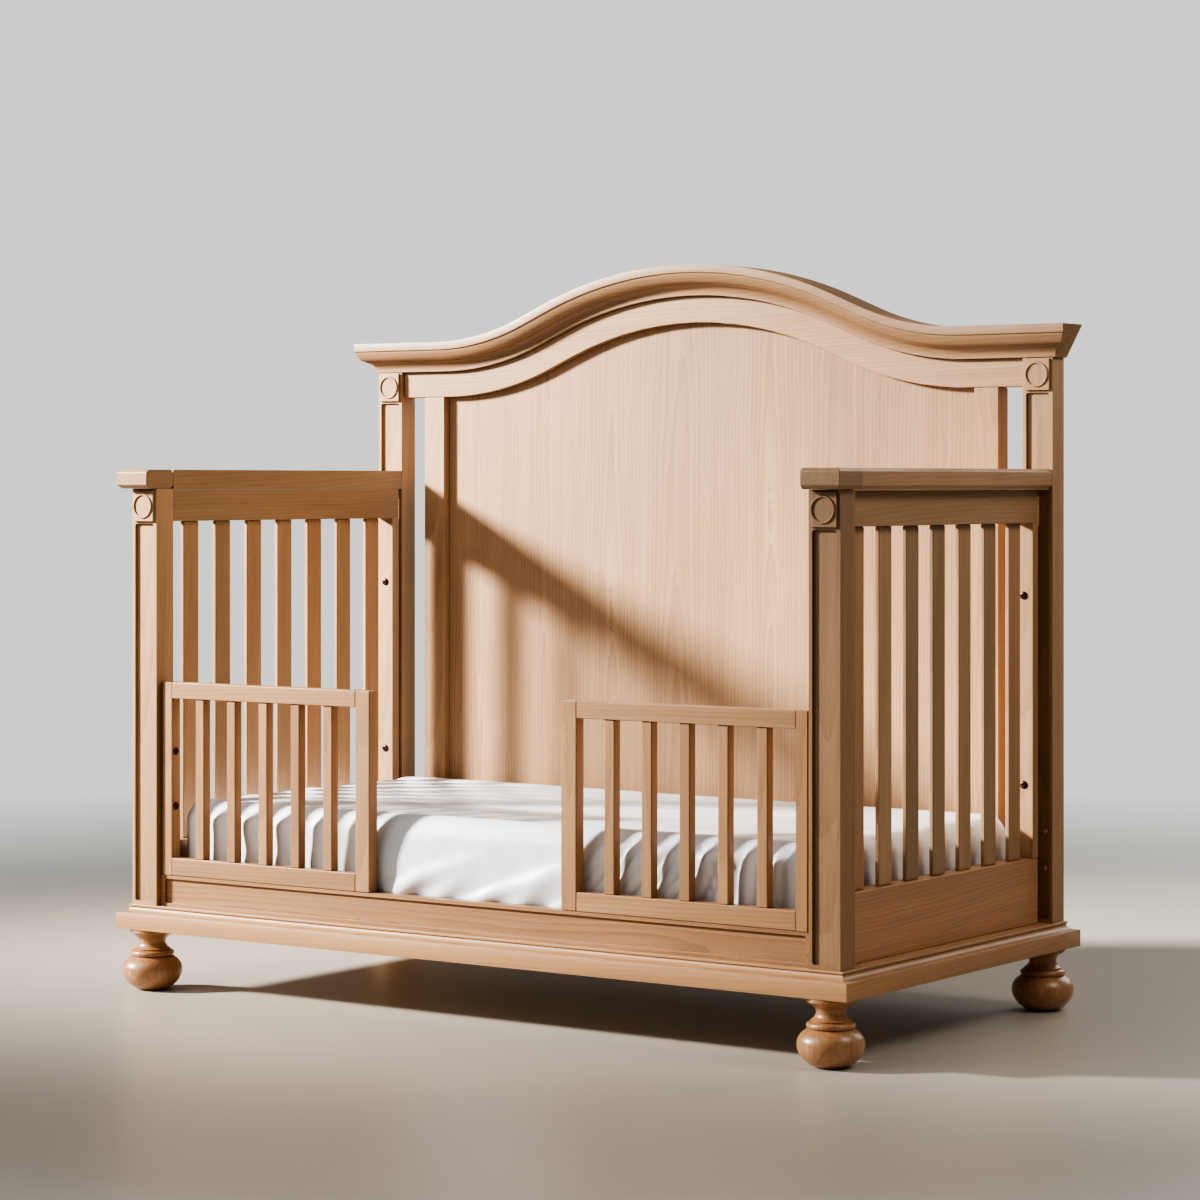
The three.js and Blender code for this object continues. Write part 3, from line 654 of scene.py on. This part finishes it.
def arch_line(drop, half_width, height, steps=28):
    """The arched line lying drop under the crown's top edge, from end to end, as (x, z)."""
    reach = ARCH["top"] + ARCH["shoulder"]
    straight = (ARCH["rise"] - reach * (1 - math.cos(ARCH["angle"]))) / math.sin(ARCH["angle"])
    shoulder_x = reach * math.sin(ARCH["angle"]) + straight * math.cos(ARCH["angle"])
    turn = math.degrees(ARCH["angle"])
    low_arc = arc(-shoulder_x, height + ARCH["shoulder"], ARCH["shoulder"] + drop,
                  ARCH["shoulder"] + drop, -90, -90 + turn, steps)
    top_arc = arc(0, height + ARCH["rise"] - ARCH["top"], ARCH["top"] - drop,
                  ARCH["top"] - drop, 90 + turn, 90, steps)
    left = [(-half_width, height - drop), *low_arc, *top_arc]
    right = [(-x, z) for x, z in reversed(left[:-1])]
    return left + right


def add_crown():
    low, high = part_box("crown")
    back = high.y
    top_edge = high.z / MM - ARCH["rise"]
    front = low.y / MM + CROWN_OVERHANG
    half = high.x / MM - CROWN_OVERHANG
    lines = [(front - overhang, arch_line(drop, half + overhang, top_edge))
             for drop, overhang in CROWN_PROFILE]
    rings = []
    for k in range(len(lines[0][1])):
        ring = [(line[k][0] * MM, y * MM, line[k][1] * MM) for y, line in lines]
        ring.append((ring[-1][0], back, ring[-1][2]))
        ring.append((ring[0][0], back, ring[0][2]))
        rings.append(ring)
    crown = loft("crown_moulding", rings)
    paint(crown, wood("crown", "x", middle_of("crown")))
    finish_piece(crown, replaced=("crown",))


# ---- guards --------------------------------------------------------------------------------

GUARD_TOP_RAIL = 28.5 * MM
GUARD_BOTTOM_RAIL = 30.7 * MM
GUARD_SLATS = 5
GUARD_SLAT_WIDTH = 19 * MM
GUARD_SLAT_FRONT = 2.7 * MM            # slat's front and back faces, behind the rails' front
GUARD_SLAT_BACK = 20.7 * MM
GUARD_SLAT_GAP = 0.1 * MM              # between a slat's ends and the rails


def add_guards():
    """Each guard's two rails and five slats, as separate boards in place of the glued ladder."""
    for side, sign in SIDES:
        node = f"guard_ladder_{side}"
        low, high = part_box(node)
        boards = [
            ("top_rail", "x", (low.x, low.y, high.z - GUARD_TOP_RAIL), high),
            ("bottom_rail", "x", low, (high.x, high.y, low.z + GUARD_BOTTOM_RAIL)),
        ]
        opening = (high.x - low.x - GUARD_SLATS * GUARD_SLAT_WIDTH) / (GUARD_SLATS + 1)
        bottom = low.z + GUARD_BOTTOM_RAIL + GUARD_SLAT_GAP
        top = high.z - GUARD_TOP_RAIL - GUARD_SLAT_GAP
        for k in range(GUARD_SLATS):
            start = low.x + opening + k * (opening + GUARD_SLAT_WIDTH)
            boards.append((f"slat_{k + 1}", "z", (start, low.y + GUARD_SLAT_FRONT, bottom),
                           (start + GUARD_SLAT_WIDTH, low.y + GUARD_SLAT_BACK, top)))
        for part, grain, corner_a, corner_b in boards:
            name = f"guard_{part}_{side}"
            piece = block(name, corner_a, corner_b, 1.6 * MM)
            centre = (Vector(corner_a) + Vector(corner_b)) / 2
            paint(piece, wood(name, grain, centre, cathedral=0.07))
            finish_piece(piece, replaced=(node,))


# ---- wooden plugs --------------------------------------------------------------------------

PLUG_RADIUS = 4.2
PLUG_HEIGHTS = (242, 304)
PLUG_INSET = 14.2 * MM                 # plug's middle to the post's outer face


def add_plugs():
    """Domed plugs over the screw holes in the back posts' front faces."""
    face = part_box("side_stile_left")[1].y
    for side, sign in SIDES:
        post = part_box(f"back_post_{side}")
        outer = post[1].x if sign > 0 else post[0].x
        for k, height in enumerate(PLUG_HEIGHTS, 1):
            name = f"plug_{side}_{k}"
            outline = [(PLUG_RADIUS, -1.0), (PLUG_RADIUS, 0.2),
                       *arc(0, 0.2, PLUG_RADIUS, 1.1, 12, 84, 8)]
            plug = lathe(name, outline, (0, 0, 0), 40)
            plug.rotation_euler = (math.radians(90), 0, 0)
            plug.location = (outer - sign * PLUG_INSET, face, height * MM)
            paint(plug, wood(name, "y", (0, 0, 0)))
            finish_piece(plug)


# ---- mattress and sheet --------------------------------------------------------------------

FOAM_INSET = 12 * MM
SHEET_INSET = 4.5 * MM
SHEET_CELL = 0.008
DRAPE_FRAMES = 14
DRAPE_CAP = 7 * MM
DRAPE_LOST_ON_TOP = 0.85
PLEAT_HEIGHT = 9.5 * MM
PLEAT_SINK = 5.5 * MM
TUCK_HEIGHT = 6.5 * MM
DENT_HEIGHT = 6 * MM
ENTRY_SINK = 2.5 * MM


def rounded_box_mesh(name, low, high, radius, cell, open_bottom_inset=None):
    """A box of even quads. radius is that of its upright corners and that of its other edges.
    With open_bottom_inset its underside is only a rim."""
    low, high = np.array(low), np.array(high)
    size = high - low
    counts = [max(2, round(s / cell)) for s in size]
    nx, ny, nz = counts
    index, vertices = {}, []

    def vertex(i, j, k):
        key = (i, j, k)
        if key not in index:
            index[key] = len(vertices)
            vertices.append(low + size * np.array((i / nx, j / ny, k / nz)))
        return index[key]

    faces = []
    for i in range(nx):
        for j in range(ny):
            faces.append([vertex(i, j, nz), vertex(i + 1, j, nz), vertex(i + 1, j + 1, nz),
                          vertex(i, j + 1, nz)])
            rim = open_bottom_inset is None or (
                min(i, nx - 1 - i, j, ny - 1 - j) * cell < open_bottom_inset)
            if rim:
                faces.append([vertex(i, j + 1, 0), vertex(i + 1, j + 1, 0), vertex(i + 1, j, 0),
                              vertex(i, j, 0)])
    for k in range(nz):
        for i in range(nx):
            faces.append([vertex(i, 0, k), vertex(i + 1, 0, k), vertex(i + 1, 0, k + 1),
                          vertex(i, 0, k + 1)])
            faces.append([vertex(i, ny, k + 1), vertex(i + 1, ny, k + 1), vertex(i + 1, ny, k),
                          vertex(i, ny, k)])
        for j in range(ny):
            faces.append([vertex(0, j, k + 1), vertex(0, j + 1, k + 1), vertex(0, j + 1, k),
                          vertex(0, j, k)])
            faces.append([vertex(nx, j, k), vertex(nx, j + 1, k), vertex(nx, j + 1, k + 1),
                          vertex(nx, j, k + 1)])
    points = np.array(vertices)
    corner, edge = radius
    # the upright corners first, then the edges round the top and bottom
    core_low, core_high = low[:2] + corner, high[:2] - corner
    nearest = np.clip(points[:, :2], core_low, core_high)
    away = points[:, :2] - nearest
    square = np.abs(away).max(1, keepdims=True)
    length = np.linalg.norm(away, axis=1, keepdims=True)
    points[:, :2] = nearest + np.where(length > 1e-9, away / np.maximum(length, 1e-9) * square, away)
    mid_low, mid_high = low + edge, high - edge
    nearest = points.copy()
    inner_low, inner_high = low[:2] + edge, high[:2] - edge
    base = np.clip(points[:, :2], core_low, core_high)
    out = points[:, :2] - base
    reach = np.linalg.norm(out, axis=1, keepdims=True)
    limit = np.maximum(corner - edge, 1e-6)
    inside = np.where(reach > limit, base + out / np.maximum(reach, 1e-9) * limit, points[:, :2])
    inside = np.where(reach > 1e-9, inside, np.clip(points[:, :2], inner_low, inner_high))
    nearest[:, :2] = inside
    nearest[:, 2] = np.clip(points[:, 2], mid_low[2], mid_high[2])
    away = points - nearest
    square = np.abs(np.stack([np.linalg.norm(away[:, :2], axis=1), away[:, 2]], axis=1)).max(1)
    length = np.linalg.norm(away, axis=1)
    scale = np.where(length > 1e-9, square / np.maximum(length, 1e-9), 1.0)
    points = nearest + away * scale[:, None]
    return new_piece(name, points, faces, 180)


def vertex_array(piece):
    data = np.empty(len(piece.data.vertices) * 3)
    piece.data.vertices.foreach_get("co", data)
    return data.reshape(-1, 3)


def normal_array(piece):
    data = np.empty(len(piece.data.vertices) * 3)
    piece.data.vertices.foreach_get("normal", data)
    return data.reshape(-1, 3)


def write_vertices(piece, points):
    piece.data.vertices.foreach_set("co", points.astype(np.float32).ravel())
    piece.data.update()


def step(value, low, high):
    """Rises smoothly from 0 at low to 1 at high."""
    t = np.clip((value - low) / (high - low), 0, 1)
    return t * t * (3 - 2 * t)


def add_mattress():
    """The foam core, crowned a little, a finger's width inside the space that the sheet takes."""
    low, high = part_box("mattress")
    inset = Vector((FOAM_INSET, FOAM_INSET, 0))
    core = rounded_box_mesh("mattress_foam", low + inset, high - inset - Vector((0, 0, FOAM_INSET)),
                            (0.044, 0.024), 0.014)
    points = vertex_array(core)
    along = points[:, 0] / high.x
    across = (points[:, 1] - (low.y + high.y) / 2) / ((high.y - low.y) / 2)
    rise = 3 * MM * (1 - along ** 2) * (1 - across ** 2)
    points[:, 2] += np.where(points[:, 2] > (low.z + high.z) / 2, rise, 0)
    write_vertices(core, points)
    paint(core, satin("ticking", (0.80, 0.79, 0.76), (0.70, 0.69, 0.66), 0.6))
    finish_piece(core, "mattress", ("mattress",))
    return core


def ridges(phase, sharpness):
    """Rounded ridges of height 1, one each turn of phase, with narrower crests when sharper."""
    return (0.5 + 0.5 * np.cos(phase)) ** sharpness


def top_folds(x, y, depth):
    """Long creases that run the length of the bed and fade towards the right and the front."""
    wander = 5 * MM * np.sin(x * 2.9 + 0.6) + 2.5 * MM * np.sin(x * 7.3 + 2 + 9 * y)
    left = 1 - 0.75 * step(x, -0.30, 0.45)
    back = step(depth, 0.16, 0.34)
    fine = ridges((y + wander) * 2 * math.pi / 0.056, 0.55) * left
    broad = ridges((y + 2 * wander) * 2 * math.pi / 0.17 + 1.2, 1.3) * (1 - 0.5 * left)
    swell = 0.75 + 0.25 * np.sin(x * 5.1 + y * 13)
    creases = (5.5 * MM * fine * swell + 3 * MM * broad) * back
    roll = 6 * MM * np.exp(-((depth - 0.045) / 0.035) ** 2)
    valley = -6 * MM * np.exp(-((depth - 0.15) / 0.05) ** 2)
    return creases + roll + valley - 3 * MM * back


def behind_guard(x):
    """1 behind a guard, fading to 0 past its two ends."""
    return step(x, 0.19, 0.27) * (1 - step(x, 0.60, 0.66))


def front_folds(x, height):
    """Pleats behind the guards, leaning over on the right, and tucks along the hem between them."""
    behind_left, behind_right = behind_guard(-x), behind_guard(x)
    entry = 1 - step(np.abs(x), 0.15, 0.24)
    drift = 0.016 * np.sin(x * 11 + 0.4)
    left = ridges((x + drift) * 2 * math.pi / 0.078 + 0.7, 1.4)
    lean = 0.075 * height * (1 - step(x, 0.42, 0.56))
    right = ridges((x - lean + drift) * 2 * math.pi / 0.066, 1.7)
    right = 0.8 * right + 0.5 * ridges((x - 1.7 * lean) * 2 * math.pi / 0.027 + 2, 2.0)
    fall = step(height, 0.02, 0.3) * (1 - step(height, 0.80, 0.98))
    tuck = ridges((x - 0.16 * height) * 2 * math.pi / 0.083 + 0.8, 1.2) * (1 - step(height, 0.12, 0.55))
    dent = ridges((x - 0.34 * height) * 2 * math.pi / 0.19 + 1, 2.6) * (1 - step(height, 0.3, 0.85))
    pleats = PLEAT_HEIGHT * (left * behind_left + right * behind_right) * fall - PLEAT_SINK * (
        behind_left + behind_right)
    hem = (TUCK_HEIGHT * tuck + DENT_HEIGHT * dent - ENTRY_SINK) * entry
    return pleats + hem + 5 * MM * entry * np.sin(np.pi * np.clip(height, 0, 1))


def side_folds(y, height):
    """Faint upright pleats on the ends."""
    return 2.2 * MM * ridges((y + 0.02 * height) * 2 * math.pi / 0.074, 1.3) * step(height, 0.05, 0.4)


def drape(sheet, foam, low):
    """Lets the sheet settle over the foam as slack cloth, held by its hem under the mattress. Most
    of the movement is dropped on the top face, because it flattens the creases there."""
    start = vertex_array(sheet)
    hem = sheet.vertex_groups.new(name="hem")
    under = start[:, 2] < low.z + SHEET_INSET + 3 * MM
    hem.add(np.flatnonzero(under).tolist(), 1.0, "REPLACE")
    foam.modifiers.new("solid", "COLLISION")
    foam.collision.thickness_outer = 1.5 * MM
    cloth = sheet.modifiers.new("drape", "CLOTH")
    cloth.settings.quality = 6
    cloth.settings.mass = 0.12
    cloth.settings.tension_stiffness = 20
    cloth.settings.compression_stiffness = 12
    cloth.settings.shear_stiffness = 6
    cloth.settings.bending_stiffness = 0.05
    cloth.settings.shrink_min = -0.022
    cloth.settings.vertex_group_mass = "hem"
    cloth.settings.effector_weights.gravity = 0.25
    cloth.collision_settings.distance_min = 1.5 * MM
    scene = bpy.context.scene
    for number in range(1, DRAPE_FRAMES + 1):
        scene.frame_set(number)
    settled = sheet.evaluated_get(bpy.context.evaluated_depsgraph_get())
    moved = vertex_array(settled) - start
    sheet.modifiers.remove(cloth)
    foam.modifiers.remove(foam.modifiers["solid"])
    scene.frame_set(1)
    length = np.linalg.norm(moved, axis=1, keepdims=True)
    moved *= np.minimum(1, DRAPE_CAP / np.maximum(length, 1e-9))
    moved *= 1 - DRAPE_LOST_ON_TOP * step(normal_array(sheet)[:, 2:3], 0.5, 0.9)
    write_vertices(sheet, start + moved)


def add_sheet(foam):
    low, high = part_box("mattress")
    inset = Vector((SHEET_INSET, SHEET_INSET, 0))
    sheet = rounded_box_mesh("fitted_sheet", low + inset, high - inset - Vector((0, 0, SHEET_INSET)),
                             (0.044, 0.026), SHEET_CELL, 0.07)
    points, normals = vertex_array(sheet), normal_array(sheet)
    x, y, z = points.T
    depth = (y - low.y) / (high.y - low.y)
    height = (z - low.z) / (high.z - low.z)
    up = step(normals[:, 2], 0.45, 0.95)
    front = step(-normals[:, 1], 0.35, 0.9)
    ends = step(np.abs(normals[:, 0]), 0.45, 0.95)
    points[:, 2] += up * top_folds(x, y, depth)
    points[:, 1] -= front * front_folds(x, height)
    points[:, 0] += np.sign(x) * ends * side_folds(y, height)
    write_vertices(sheet, points)
    drape(sheet, foam, low)
    solid = sheet.modifiers.new("cloth", "SOLIDIFY")
    solid.thickness = 0.8 * MM
    solid.offset = -1
    fine = sheet.modifiers.new("fine", "SUBSURF")
    fine.levels = fine.render_levels = 1
    paint(sheet, satin("sheet", (0.745, 0.775, 0.82), (0.69, 0.72, 0.765), 0.36))
    finish_piece(sheet, "mattress", ("mattress",))


# ---- floor ---------------------------------------------------------------------------------


def add_floor():
    """A wide pale disc that thins out towards its rim, so that no horizon shows."""
    bpy.ops.mesh.primitive_circle_add(vertices=128, radius=FLOOR_RADIUS, fill_type="NGON")
    floor = bpy.context.object
    floor.name = "floor"
    g = Graph("floor")
    place = g.tree.nodes.new("ShaderNodeTexCoord").outputs["Object"]
    reach = g.tree.nodes.new("ShaderNodeVectorMath")
    reach.operation = "LENGTH"
    g.feed(reach.inputs[0], place)
    cover = g.remap(reach.outputs["Value"], 1.6, FLOOR_RADIUS - 0.1, 1, 0)
    g.set(Base_Color=FLOOR_COLOUR, Roughness=0.38, Alpha=cover)
    floor.data.materials.append(g.material)


add_camera()
add_studio()
add_floor()
dress_frame()
add_feet()
add_plinth()
add_crown()
add_guards()
add_plugs()
add_sheet(add_mattress())

bpy.context.view_layer.update()
